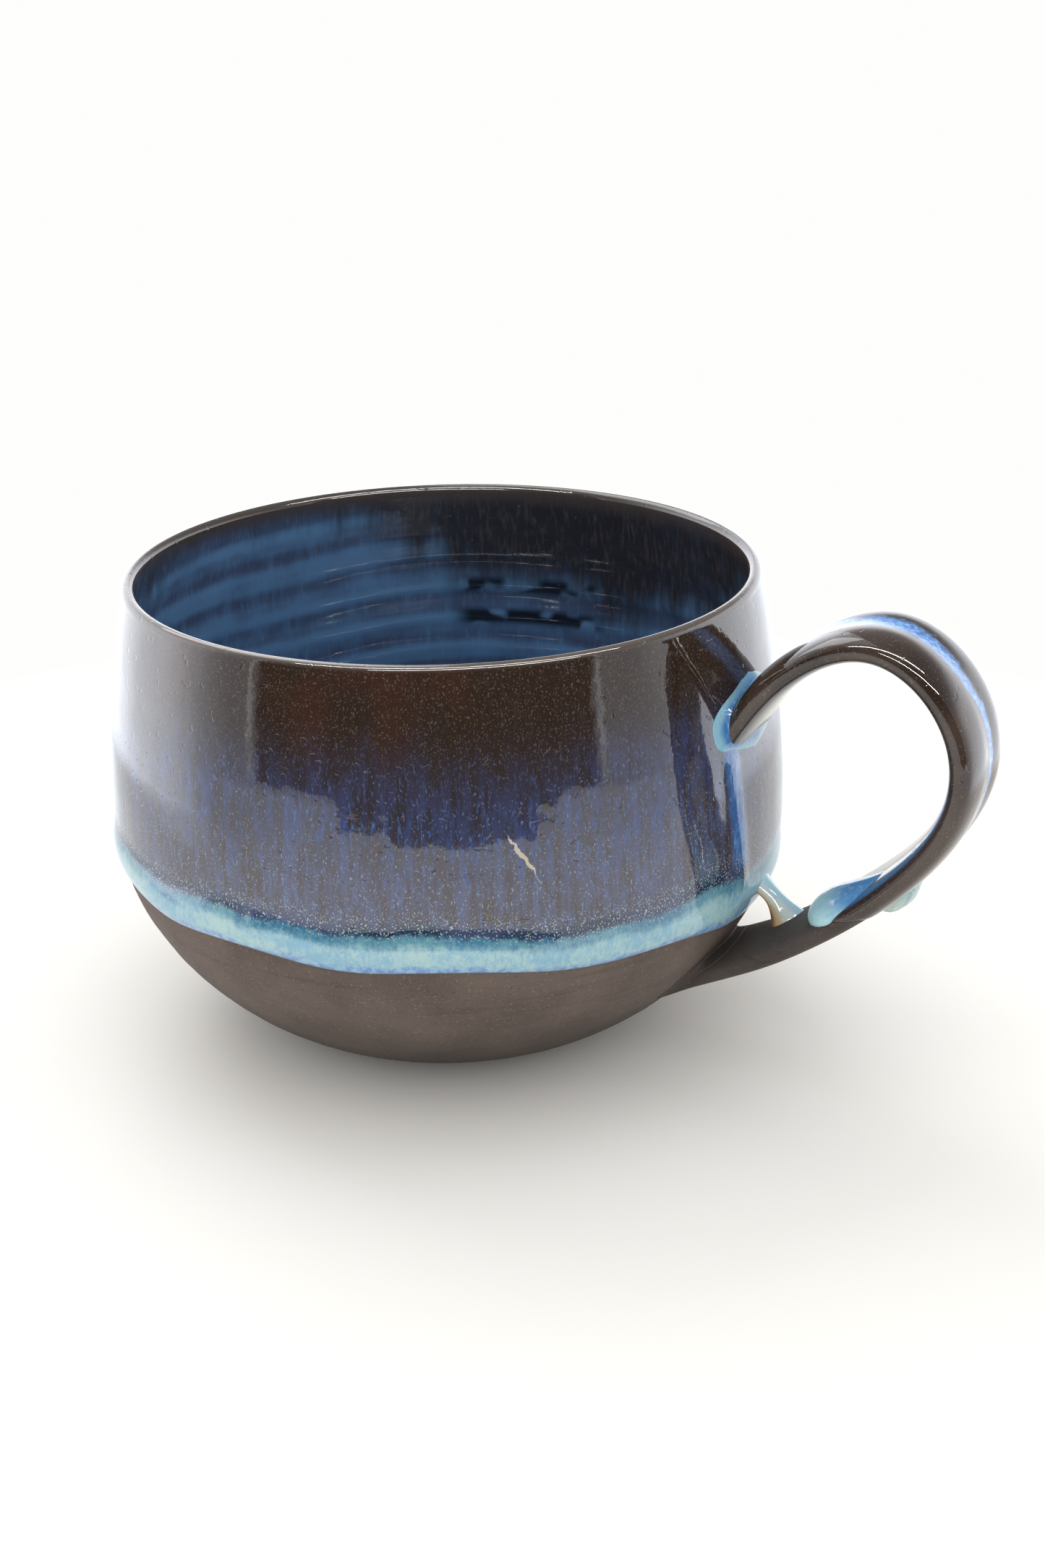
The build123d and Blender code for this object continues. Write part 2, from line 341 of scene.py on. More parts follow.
for k in range(8):
    turn = pi / 2 * (1 - k / 8)
    off = LIP_COAT + (COAT - LIP_COAT) * smooth(sin(turn), 0.3, 1)
    r, z = LIP_MID + (LIP_HALF + off) * cos(turn), LIP_Z + (LIP_HALF + off) * sin(turn)
    coat_rings.append(level_ring(r, z))
    edge_rows.append([z - e for e in edges])
    run_rows.append([0.0] * AROUND)
WALL_ROWS = 78
for k in range(WALL_ROWS):
    heights = [LIP_Z + (e + ROLL_TALL - LIP_Z) * k / WALL_ROWS for e in edges]
    add_ring(heights, [coat_thickness(t, z) for t, z in zip(THETAS, heights)])
for k in range(17):
    x = 1 - (1 - ROLL_WIDEST) * k / 16
    heights = [e + ROLL_TALL * x for e in edges]
    share = 1 - smooth(x, ROLL_WIDEST, 1)
    thin = [coat_thickness(t, z) * (1 - share) for t, z in zip(THETAS, heights)]
    add_ring(heights, [a + p * share for a, p in zip(thin, proud)])
for k in range(1, 11):
    turn = pi / 2 * (1 - k / 10)
    x = ROLL_WIDEST * (1 - cos(turn))
    heights = [e + ROLL_TALL * x for e in edges]
    add_ring(heights, [p * sin(turn) - 0.02 for p in proud])
for k in range(12):
    heights = [e + 0.3 + (LIP_Z - e - 0.3) * k / 11 for e in edges]
    add_ring(heights, [HIDDEN] * AROUND)
coat_rings.append(level_ring(LIP_MID, LIP_Z + LIP_HALF + HIDDEN))
edge_rows.append([40.0] * AROUND)
run_rows.append([0.0] * AROUND)
outer_coat = build("outer_coat", coat_rings, {"edge": edge_rows, "run": run_rows}, loop=True, crease=(0,))

# ---------------------------------------------------------------- handle


def handle_knots():
    """Points that the handle's line passes through, as x and z."""
    rise = LIP_Z + LIP_HALF - DROP - LOWER_JOINT[1]
    first = (UPPER_JOINT[0] - ROOT * cos(UPPER_ENTRY), UPPER_JOINT[1] - ROOT * sin(UPPER_ENTRY))
    last = (LOWER_JOINT[0] - ROOT * cos(LOWER_ENTRY), LOWER_JOINT[1] - ROOT * sin(LOWER_ENTRY))
    return [first] + [(BELLY_R + a * REACH, LOWER_JOINT[1] + b * rise) for a, b in LOOP] + [last]


def spline(knots, first_way, last_way):
    """Dense points of the smooth curve through the knots, with the two ways that it starts and ends."""
    spans = [hypot(b[0] - a[0], b[1] - a[1]) for a, b in zip(knots, knots[1:])]
    n = len(knots)
    slopes = []
    for axis in (0, 1):
        lower, middle, upper, right = [0.0] * n, [1.0] * n, [0.0] * n, [0.0] * n
        right[0], right[-1] = first_way[axis], last_way[axis]
        for i in range(1, n - 1):
            a, b = spans[i - 1], spans[i]
            lower[i], middle[i], upper[i] = b, 2 * (a + b), a
            rise_a = (knots[i][axis] - knots[i - 1][axis]) / a
            rise_b = (knots[i + 1][axis] - knots[i][axis]) / b
            right[i] = 3 * (b * rise_a + a * rise_b)
        for i in range(1, n):
            share = lower[i] / middle[i - 1]
            middle[i] -= share * upper[i - 1]
            right[i] -= share * right[i - 1]
        slope = [0.0] * n
        slope[-1] = right[-1] / middle[-1]
        for i in range(n - 2, -1, -1):
            slope[i] = (right[i] - upper[i] * slope[i + 1]) / middle[i]
        slopes.append(slope)
    points = []
    for i, span in enumerate(spans):
        for k in range(40):
            t = k / 40
            a, b = 2 * t**3 - 3 * t**2 + 1, t**3 - 2 * t**2 + t
            c, d = 3 * t**2 - 2 * t**3, t**3 - t**2
            point = []
            for axis, slope in enumerate(slopes):
                here = a * knots[i][axis] + b * span * slope[i]
                point.append(here + c * knots[i + 1][axis] + d * span * slope[i + 1])
            points.append(tuple(point))
    return points + [knots[-1]]


track = spline(handle_knots(), (cos(UPPER_ENTRY), sin(UPPER_ENTRY)), (-cos(LOWER_ENTRY), -sin(LOWER_ENTRY)))
lengths = [0.0]
for a, b in zip(track, track[1:]):
    lengths.append(lengths[-1] + hypot(b[0] - a[0], b[1] - a[1]))
HANDLE_LONG = lengths[-1]


def handle_at(share):
    """Point and way of the handle's line, as x and z, at a share of its length."""
    reach = min(max(share, 0.0), 1.0) * HANDLE_LONG
    low, high = 0, len(lengths) - 1
    while high - low > 1:
        mid = (low + high) // 2
        low, high = (mid, high) if lengths[mid] <= reach else (low, mid)
    t = (reach - lengths[low]) / (lengths[high] - lengths[low])
    a, b = track[low], track[high]
    before, after = track[max(low - 2, 0)], track[min(high + 2, len(track) - 1)]
    size = hypot(after[0] - before[0], after[1] - before[1])
    way = ((after[0] - before[0]) / size, (after[1] - before[1]) / size)
    return (a[0] + (b[0] - a[0]) * t, a[1] + (b[1] - a[1]) * t), way


def strap_at(share, turn, grow=0.0, groove=True):
    """Point on the strap. turn is 90 degrees in the middle of the outer face and 270 on the inner face."""
    (x, z), (way_x, way_z) = handle_at(share)
    half_w = (STRAP_W - STRAP_WAIST * sin(pi * share)) / 2
    half_t = STRAP_T / 2
    c, s = cos(turn), sin(turn)
    power = 2 / SQUARENESS
    side = half_w * abs(c) ** power * (1 if c >= 0 else -1)
    off = half_t * abs(s) ** power * (1 if s >= 0 else -1)
    slope_side = abs(side / half_w) ** (SQUARENESS - 1) / half_w * (1 if c >= 0 else -1)
    slope_off = abs(off / half_t) ** (SQUARENESS - 1) / half_t * (1 if s >= 0 else -1)
    size = hypot(slope_side, slope_off)
    side += grow * slope_side / size
    off += grow * slope_off / size
    if groove and s > 0:
        dip = exp(-((side - 0.6) / 2.6) ** 2)
        off -= 0.42 * dip * smooth(share, 0.05, 0.14) * (1 - smooth(share, 0.7, 0.86))
    off += 0.10 * noise.noise(Vector((share * 9, side * 0.12, 3 if s > 0 else 7)))
    return Vector((x - way_z * off, side, z + way_x * off))


STRAP_AROUND = 84
TURNS = [2 * pi * j / STRAP_AROUND for j in range(STRAP_AROUND)]


def off_bowl(point):
    """How far a point is outside the bare bowl."""
    radius, out, up = outside(min(max(point.z, 0), LIP_Z))
    return (hypot(point.x, point.y) - radius) * out


def meets_bowl(turn, upper, skin_bowl, skin_strap):
    """Share of the handle's line where one of the strap's long lines passes through the bowl's skin."""
    low, high = (0.0, 0.3) if upper else (1.0, 0.7)
    for _ in range(34):
        middle = (low + high) / 2
        if off_bowl(strap_at(middle, turn, skin_strap)) > skin_bowl:
            high = middle
        else:
            low = middle
    return (low + high) / 2


SUNK = 0.9 / HANDLE_LONG
first_shares = [meets_bowl(t, True, 0, 0) - SUNK for t in TURNS]
last_shares = [meets_bowl(t, False, 0, 0) + SUNK for t in TURNS]
strap_rings = []
STRAP_ROWS = 150
for k in range(STRAP_ROWS + 1):
    t = k / STRAP_ROWS
    shares = [a + (b - a) * t for a, b in zip(first_shares, last_shares)]
    strap_rings.append([strap_at(share, turn) for share, turn in zip(shares, TURNS)])
strap_clay = build("strap_clay", strap_rings)

# Coat on the strap, down to a thin uneven edge
DIP_LINE = 31.0


def dip_share(turn):
    """Share of the handle's line where the coat ends on one of the strap's long lines."""
    low, high = 0.55, 0.85
    level = DIP_LINE + 0.5 * sin(3 * turn + 1) + 0.3 * sin(7 * turn)
    for _ in range(30):
        middle = (low + high) / 2
        if strap_at(middle, turn).z > level:
            low = middle
        else:
            high = middle
    return low


dip_shares = [dip_share(t) for t in TURNS]
coat_shell, down_rows = [], []
COAT_ROWS = 170


def add_strap_ring(t, skin):
    """Ring of the strap's coat, at a share of the way from the bowl to the coat's end."""
    ring, down = [], []
    for a, b, turn in zip(first_shares, dip_shares, TURNS):
        share = a + (b - a) * t
        ring.append(strap_at(share, turn, skin))
        down.append((b - share) * HANDLE_LONG)
    coat_shell.append(ring)
    down_rows.append(down)


for k in range(COAT_ROWS + 1):
    t = k / COAT_ROWS
    left = (1 - t) * 0.7 * HANDLE_LONG
    add_strap_ring(t, 0.27 * sqrt(smooth(left, -0.01, 1.2)) - 0.01)
for k in range(30):
    add_strap_ring(0.995 - 0.995 * k / 29, HIDDEN)

# Where the coat faces out of the loop, and where it turns over the edges next to the inner face
outer = [smooth(sin(t), -0.1, 0.5) for t in TURNS]
rim = [exp(-((around(t, 216) / 15) ** 2)) + exp(-((around(t, 324) / 15) ** 2)) for t in TURNS]
coat_fields = {"down": down_rows, "outer": [outer] * len(coat_shell), "rim": [rim] * len(coat_shell)}
strap_coat = build("strap_coat", coat_shell, coat_fields, loop=True)


def bead(name, upper, on_bowl, on_strap, skin_bowl, skin_strap, bulge):
    """Ring of clay or glaze in the corner between the strap and the bowl.

    on_bowl and on_strap say how far it reaches along each at a turn, and bulge how full it is there.
    """
    sections, rows = [], []
    steps = 12
    for turn in TURNS:
        share = meets_bowl(turn, upper, skin_bowl, skin_strap)
        corner = strap_at(share, turn, skin_strap)
        ahead = 1 if upper else -1
        along = (strap_at(share + ahead * 0.01, turn, skin_strap) - corner).normalized()
        radius, out, up = outside(min(corner.z, LIP_Z))
        theta = atan2(corner.y, corner.x)
        normal = Vector((out * cos(theta), out * sin(theta), up))
        middle = strap_at(share, turn + pi, skin_strap)
        away = corner - (corner + middle) / 2
        away = (away - normal * away.dot(normal)).normalized()
        far = corner + away * on_bowl(turn)
        far = on_wall(atan2(far.y, far.x), far.z, skin_bowl)
        near_share = share + ahead * on_strap(turn) / HANDLE_LONG
        near = strap_at(near_share, turn, skin_strap)
        rise = (away + along).normalized() * bulge(turn)
        section, row = [], []
        section.append(on_wall(atan2(far.y, far.x), far.z, -0.5))
        row.append(0.0)
        for k in range(steps + 1):
            t = k / steps
            bend = corner + rise
            point = far * (1 - t) ** 2 + bend * 2 * t * (1 - t) + near * t**2
            point += (normal * (1 - t) + away * t) * 0.12 * sin(pi * t) ** 0.5
            section.append(point)
            row.append(t)
        section.append(strap_at(near_share, turn, -0.6))
        row.append(1.0)
        section.append(strap_at(share - ahead * 0.8 / HANDLE_LONG, turn, -0.7))
        row.append(0.5)
        sections.append(section)
        rows.append(row)
    return build(name, sections, {"across": rows}, loop=True)


seam_pool = bead(
    "seam_pool",
    True,
    lambda t: 1.8 + 0.3 * sin(3 * t + 0.4) + 1.9 * max(0, -cos(t + 0.7)),
    lambda t: 1.3 + 0.3 * sin(3 * t),
    COAT - 0.06,
    0.18,
    lambda t: 0.35 + 0.3 * max(0, -cos(t)),
)
lower_smear = bead(
    "lower_smear",
    False,
    lambda t: 2.6 + 0.5 * sin(2 * t + 1) + 0.3 * sin(5 * t) + 1.6 * max(0, sin(t)),
    lambda t: 3.4 + 0.6 * sin(3 * t + 2),
    0.0,
    0.0,
    lambda t: 0.15,
)

# ---------------------------------------------------------------- drops and web

PERIMETER = []
walked = 0.0
previous = strap_at(0.7, 1.5 * pi, groove=False)
for j in range(361):
    turn = 1.5 * pi + 2 * pi * j / 360
    point = strap_at(0.7, turn, groove=False)
    walked += (point - previous).length
    previous = point
    PERIMETER.append(walked)


def turn_at(run):
    """Turn round the strap at a length from the middle of its inner face, positive towards +Y."""
    run %= PERIMETER[-1]
    j = next(i for i, v in enumerate(PERIMETER) if v >= run)
    return 1.5 * pi + 2 * pi * j / 360


def drop(name, share, run, head, tail, half, tall):
    """Hanging drop on the strap: a round head down the strap and a tail that thins out behind it."""
    rings, rows = [], []
    steps = 20
    levels = [(0.3, None), (0.97, None)] + [(cos(pi / 2 * k / steps), k / steps) for k in range(steps)]
    for rho, level in levels:
        ring, row = [], []
        for j in range(72):
            turn = 2 * pi * j / 72
            c, s = cos(turn), sin(turn)
            back_share = max(0.0, -c) * rho
            along = rho * c * (head if c > 0 else tail)
            across = rho * s * half * (1 - 0.45 * back_share)
            fullness = 1 - 0.62 * smooth(back_share, 0.05, 1)
            high = -0.5 if level is None else tall * sin(pi / 2 * level) * fullness - 0.12
            ring.append(strap_at(share + along / HANDLE_LONG, turn_at(run + across), high))
            row.append(along)
        rings.append(ring)
        rows.append(row)
    return build(name, rings, {"along": rows})


drop_inner = drop("drop_inner", 0.738, -4.2, 4.6, 11.5, 4.4, 2.7)
drop_outer = drop("drop_outer", 0.680, PERIMETER[-1] / 2 - 2.0, 3.6, 6.5, 4.0, 2.9)


def web_section(t):
    """Left and right ends of the web's section, as x and z, from the roll down to the strap."""
    left = bezier([(53.4, 28.0), (55.8, 27.0), (56.4, 25.2), (56.9, 21.6)], t)
    right = bezier([(54.4, 30.4), (57.0, 28.2), (59.2, 26.0), (66.3, 24.2)], t)
    return left, right


web_rings, web_rows = [], []
for k in range(41):
    t = k / 40
    left, right = web_section(t)
    wide = 3.0 - 1.1 * sin(pi * t) + 1.2 * smooth(t, 0.75, 1)
    side = 3.6 - 1.4 * t
    ring, row = [], []
    for j in range(48):
        turn = 2 * pi * j / 48
        a = (1 + cos(turn)) / 2
        x, z = left[0] + (right[0] - left[0]) * a, left[1] + (right[1] - left[1]) * a
        ring.append(Vector((x, side + wide * sin(turn) * (1 - 0.25 * cos(turn)), z)))
        row.append(a)
    web_rings.append(ring)
    web_rows.append(row)
web = build("web", web_rings, {"across": web_rows})


# ---------------------------------------------------------------- materials


class Graph:
    """A node tree, built one node at a time."""

    def __init__(self, tree):
        self.tree = tree
        self.tree.nodes.clear()

    def node(self, kind, feeds=None, **settings):
        made = self.tree.nodes.new(kind)
        for key, value in settings.items():
            setattr(made, key, value)
        for key, value in (feeds or {}).items():
            if isinstance(value, bpy.types.NodeSocket):
                self.tree.links.new(value, made.inputs[key])
            else:
                made.inputs[key].default_value = value
        return made

    def calc(self, operation, a, b=0.0, c=0.0):
        return self.node("ShaderNodeMath", {0: a, 1: b, 2: c}, operation=operation).outputs[0]

    def step(self, value, low, high, out_low=0.0, out_high=1.0):
        """S-curve from out_low, where the value is low, to out_high, where it is high."""
        feeds = {"Value": value, "From Min": low, "From Max": high, "To Min": out_low, "To Max": out_high}
        return self.node("ShaderNodeMapRange", feeds, interpolation_type="SMOOTHSTEP").outputs[0]


class Shade(Graph):
    """A procedural material. Its vectors are in millimetres."""

    def __init__(self, name):
        self.material = bpy.data.materials.new(name)
        self.material.use_nodes = True
        super().__init__(self.material.node_tree)
        self.spot = self.vector("SCALE", self.node("ShaderNodeTexCoord").outputs["Object"], scale=1000.0)
        split = self.node("ShaderNodeSeparateXYZ", {0: self.spot})
        self.x, self.y, self.z = split.outputs

    def vector(self, operation, a, b=None, scale=None):
        feeds = {0: a}
        if b is not None:
            feeds[1] = b
        if scale is not None:
            feeds["Scale"] = scale
        return self.node("ShaderNodeVectorMath", feeds, operation=operation).outputs[0]

    def grain(self, scale, detail=2.0, rough=0.5, stretch=None, shift=0.0):
        """Noise with features of about 1/scale mm. stretch scales the three axes first."""
        spot = self.spot
        if stretch:
            spot = self.vector("MULTIPLY", spot, stretch)
        if shift:
            spot = self.vector("ADD", spot, (shift, shift * 1.7, shift * 0.6))
        feeds = {"Vector": spot, "Scale": scale, "Detail": detail, "Roughness": rough}
        return self.node("ShaderNodeTexNoise", feeds).outputs[0]

    def mix(self, share, a, b):
        return self.node("ShaderNodeMix", {0: share, 6: a, 7: b}, data_type="RGBA").outputs[2]

    def field(self, name):
        return self.node("ShaderNodeAttribute", attribute_name=name).outputs["Fac"]

    def bump(self, height, depth, normal=None):
        feeds = {"Height": height, "Distance": depth * MM, "Strength": 1.0}
        if normal is not None:
            feeds["Normal"] = normal
        return self.node("ShaderNodeBump", feeds).outputs[0]

    def finish(self, colour, rough, normal, **settings):
        """Surface with these looks. Other names set the shader's sockets, with _ for a space."""
        feeds = {"Base Color": colour, "Roughness": rough, "Normal": normal}
        feeds.update({key.replace("_", " "): value for key, value in settings.items()})
        surface = self.node("ShaderNodeBsdfPrincipled", feeds)
        self.node("ShaderNodeOutputMaterial", {0: surface.outputs[0]})
        return self.material


def rgb(r, g, b, scale=1.0):
    return (r * scale, g * scale, b * scale, 1.0)


def glossy_skin(s):
    """Faint orange peel and pinholes of a fired glaze."""
    normal = s.bump(s.grain(0.28, 1.0), 0.035)
    normal = s.bump(s.grain(1.3, 2.0), 0.006, normal)
    pits = s.step(s.grain(0.9, 0.0, shift=31), 0.20, 0.27)
    return s.bump(pits, 0.02, normal)


UPRIGHT = (1.0, 1.0, 0.2)  # draws noise out into upright threads
CRACK_AZIMUTH, CRACK_Z = radians(-49.2), 47.6
WALL_NEAR_CRACK = 54.0  # radius


def running_glaze():
    """Outer coat: brown at the lip, then navy and lilac with blue threads, and aqua on the roll."""
    s = Shade("running_glaze")
    edge = s.field("edge")
    threads = s.grain(2.2, 3.0, 0.7, stretch=UPRIGHT)
    streaks = s.grain(0.62, 3.0, 0.65, stretch=(1, 1, 0.12), shift=7)
    columns = s.grain(0.13, 1.0, stretch=(1, 1, 0.3), shift=3)
    clouds = s.grain(0.07, 2.0, shift=12)
    fleck = s.grain(4.6, 0.0, stretch=(1, 1, 0.7), shift=5)
    dots = s.grain(4.2, 0.0, stretch=(1, 1, 0.45), shift=17)

    ruddy = s.step(s.grain(0.09, 1.0, stretch=(1, 1, 0.35), shift=20), 0.5, 0.68)
    brown = s.mix(ruddy, rgb(0.026, 0.0150, 0.0098), rgb(0.040, 0.0165, 0.0098))
    brown = s.mix(s.step(threads, 0.45, 0.8, 0, 0.35), brown, rgb(0.075, 0.05, 0.038))
    brown = s.mix(s.step(fleck, 0.60, 0.80, 0, 0.7), brown, rgb(0.13, 0.105, 0.085))

    navy = s.mix(s.step(streaks, 0.38, 0.66), rgb(0.034, 0.027, 0.032), rgb(0.046, 0.060, 0.145))
    navy = s.mix(s.step(threads, 0.52, 0.72, 0, 0.75), navy, rgb(0.055, 0.125, 0.36))
    navy = s.mix(s.step(dots, 0.66, 0.84, 0, 0.55), navy, rgb(0.17, 0.28, 0.50))
    lilac = s.mix(s.step(streaks, 0.35, 0.68), rgb(0.056, 0.044, 0.049), rgb(0.072, 0.085, 0.165))
    lilac = s.mix(s.step(threads, 0.50, 0.72, 0, 0.6), lilac, rgb(0.075, 0.16, 0.39))
    lilac = s.mix(s.step(fleck, 0.64, 0.82, 0, 0.7), lilac, rgb(0.30, 0.38, 0.46))

    ragged = s.calc("MULTIPLY_ADD", streaks, 15.0, -7.5)
    ragged = s.calc("ADD", ragged, s.calc("MULTIPLY_ADD", threads, 16.0, -8.0))
    ragged = s.calc("ADD", ragged, s.calc("MULTIPLY_ADD", columns, 12.0, -6.0))
    height = s.calc("ADD", s.z, ragged)
    colour = s.mix(s.step(height, 45, 54), lilac, navy)
    colour = s.mix(s.step(height, 52.5, 68.5), colour, brown)
    high = s.calc("MULTIPLY", s.step(threads, 0.60, 0.76, 0, 0.5), s.step(s.z, 72, 60))
    colour = s.mix(high, colour, rgb(0.07, 0.13, 0.30))
    colour = s.mix(s.step(s.z, 75.0, 75.9, 0, 0.8), colour, rgb(0.12, 0.098, 0.083))

    run = s.field("run")
    deep = s.mix(s.step(threads, 0.4, 0.7), rgb(0.045, 0.13, 0.38), rgb(0.13, 0.32, 0.62))
    colour = s.mix(s.step(run, 0.15, 0.75, 0, 0.92), colour, deep)

    mottle = s.grain(0.9, 3.0, 0.65, shift=9)
    jitter = s.calc("MULTIPLY_ADD", mottle, 1.8, -0.9)
    jitter = s.calc("ADD", jitter, s.calc("MULTIPLY_ADD", columns, 2.2, -1.1))
    low = s.calc("ADD", edge, jitter)
    cream = s.grain(1.1, 5.0, 0.85, stretch=(1, 1, 0.6), shift=14)
    cream = s.step(s.calc("ADD", cream, s.calc("MULTIPLY_ADD", clouds, 0.7, -0.35)), 0.36, 0.64)

    # Bands of the roll, from its lower edge up
    pale = s.mix(cream, rgb(0.20, 0.42, 0.57), rgb(0.37, 0.56, 0.58))
    teal = s.mix(cream, rgb(0.045, 0.17, 0.30), rgb(0.12, 0.31, 0.40))
    line = s.mix(s.step(clouds, 0.46, 0.6), rgb(0.045, 0.065, 0.14), rgb(0.016, 0.036, 0.080))
    rim = s.mix(s.step(mottle, 0.4, 0.65), rgb(0.13, 0.27, 0.55), rgb(0.26, 0.47, 0.66))
    roll = s.mix(s.step(low, 0.6, 1.9), rim, pale)
    roll = s.mix(s.step(low, 3.6, 5.4), roll, teal)
    roll = s.mix(s.step(low, 5.5, 6.6), roll, line)
    speckle = s.step(s.grain(3.8, 0.0, shift=23), 0.60, 0.74)
    near_line = s.calc("MULTIPLY", s.step(low, 4.4, 6.0), s.step(low, 10.5, 7.6))
    colour = s.mix(s.step(low, 6.7, 8.8), roll, colour)
    colour = s.mix(s.calc("MULTIPLY", speckle, near_line), colour, rgb(0.34, 0.40, 0.40))

    # Short crack that shows pale clay
    turn = s.calc("MULTIPLY", s.calc("ARCTAN2", s.y, s.x), WALL_NEAR_CRACK)
    fall = s.calc("SUBTRACT", s.z, CRACK_Z)
    across = s.calc("SUBTRACT", turn, CRACK_AZIMUTH * WALL_NEAR_CRACK)
    across = s.calc("ADD", across, s.calc("MULTIPLY", fall, 0.62))
    wander = s.calc("MULTIPLY_ADD", s.grain(0.7, 2.0, shift=40), 1.6, -0.8)
    crack = s.calc("ABSOLUTE", s.calc("ADD", across, wander))
    taper = s.step(s.calc("ABSOLUTE", s.calc("SUBTRACT", fall, 0.6)), 3.6, 0.2, 0.05, 0.36)
    crack = s.calc("LESS_THAN", crack, taper)
    crack = s.calc("MULTIPLY", crack, s.step(s.calc("ABSOLUTE", fall), 4.2, 3.8))
    colour = s.mix(crack, colour, rgb(0.50, 0.45, 0.35))

    normal = glossy_skin(s)
    normal = s.bump(s.calc("SUBTRACT", 1.0, crack), 0.12, normal)
    rough = s.calc("MULTIPLY_ADD", crack, 0.5, s.step(clouds, 0.3, 0.7, 0.02, 0.045))
    return s.finish(
        colour,
        rough,
        normal,
        IOR=1.75,
        Sheen_Weight=0.8,
        Sheen_Roughness=0.2,
        Sheen_Tint=rgb(0.66, 0.82, 1.0),
    )


def liner_glaze():
    """Inner coat: blue over the throwing rings, and brown where it ran thin under the lip."""
    s = Shade("liner_glaze")
    drift = s.calc("MULTIPLY_ADD", s.grain(0.12, 2.0, stretch=(1, 1, 2.0)), 2.4, -1.2)
    ring = s.calc("ADD", s.field("ring"), drift)
    streaks = s.grain(0.30, 2.0, 0.6, stretch=(1, 1, 0.2))
    threads = s.grain(1.6, 1.0, stretch=UPRIGHT, shift=4)
    blue = s.mix(s.step(ring, 1.5, -1.5), rgb(0.052, 0.075, 0.145), rgb(0.10, 0.22, 0.40))
    blue = s.mix(s.step(streaks, 0.45, 0.75, 0, 0.4), blue, rgb(0.095, 0.22, 0.42))
    blue = s.mix(s.step(threads, 0.5, 0.8, 0, 0.25), blue, rgb(0.12, 0.26, 0.46))
    brown = s.mix(s.step(threads, 0.45, 0.75), rgb(0.020, 0.017, 0.018), rgb(0.045, 0.036, 0.034))
    columns = s.grain(0.05, 2.0, stretch=(1, 1, 0.25), shift=19)
    turn = s.calc("MULTIPLY", s.calc("ARCTAN2", s.y, s.x), 180 / pi)
    sides = s.calc("COSINE", s.calc("MULTIPLY", s.calc("SUBTRACT", turn, 168.0), pi / 90))
    height = s.calc("ADD", s.z, s.calc("MULTIPLY_ADD", streaks, 14.0, -7.0))
    height = s.calc("ADD", height, s.calc("MULTIPLY_ADD", columns, 26.0, -13.0))
    height = s.calc("SUBTRACT", height, s.calc("MULTIPLY", sides, 9.0))
    colour = s.mix(s.step(height, 58, 72), blue, brown)
    colour = s.mix(s.step(s.z, 71.5, 75), colour, rgb(0.06, 0.046, 0.038))

    # Bare spots where two throwing ridges stand too proud for the glaze
    high = s.calc("ABSOLUTE", s.calc("SUBTRACT", s.z, 56.9))
    lower = s.calc("ABSOLUTE", s.calc("SUBTRACT", s.z, 50.9))
    row = s.calc("MINIMUM", high, lower)
    dashes = s.step(s.grain(0.17, 1.0, 0.5, stretch=(1, 1, 1.2), shift=2), 0.44, 0.56)
    spots = s.calc("MULTIPLY", s.step(row, 2.3, 0.6), dashes)
    spots = s.calc("MULTIPLY", spots, s.calc("MULTIPLY", s.step(turn, 83, 88), s.step(turn, 119, 114)))
    colour = s.mix(spots, colour, rgb(0.006, 0.007, 0.010))
    normal = glossy_skin(s)
    return s.finish(colour, s.step(streaks, 0.3, 0.7, 0.05, 0.12), normal, IOR=1.7)


def bare_clay(name, dark, coarse):
    """Unglazed stoneware. dark scales its colour and coarse its pits and specks."""
    s = Shade(name)
    patches = s.grain(0.09, 3.0, 0.55)
    fine = s.grain(2.6, 3.0, 0.7)
    turned = s.grain(0.9, 2.0, stretch=(0.05, 0.05, 1.0), shift=6)
    low, high = rgb(0.082, 0.058, 0.0475, dark), rgb(0.128, 0.094, 0.079, dark)
    colour = s.mix(s.step(patches, 0.3, 0.7), low, high)
    colour = s.mix(s.step(fine, 0.35, 0.75, 0, 0.6), colour, rgb(0.15, 0.115, 0.098, dark))
    colour = s.mix(s.step(turned, 0.55, 0.72, 0, 0.3), colour, rgb(0.055, 0.04, 0.034, dark))
    grog = s.step(s.grain(2.6, 0.0, shift=11), 0.68, 0.78)
    colour = s.mix(s.calc("MULTIPLY", grog, 0.45 * coarse), colour, rgb(0.24, 0.20, 0.17))
    # The pits are sunk by the bump below and painted darker: painted shade in their hollows
    pits = s.step(s.grain(1.5, 2.0, 0.6, stretch=(1, 1, 2.6), shift=45), 0.27, 0.35)
    shade = s.calc("MULTIPLY", s.calc("SUBTRACT", 1.0, pits), 0.6 * coarse)
    colour = s.mix(shade, colour, rgb(0.03, 0.022, 0.018))
    # Painted shade: the clay darkens towards the foot, standing in for the shadow where the mug meets the
    # ground
    colour = s.mix(s.step(s.z, 21, 5, 0, 0.72), colour, rgb(0.034, 0.026, 0.021))
    normal = s.bump(turned, 0.05)
    normal = s.bump(s.grain(0.55, 4.0, 0.6, shift=3), 0.06, normal)
    normal = s.bump(fine, 0.035, normal)
    normal = s.bump(pits, 0.06 * coarse, normal)
    return s.finish(colour, s.step(fine, 0.3, 0.7, 0.62, 0.86), normal, IOR=1.5)


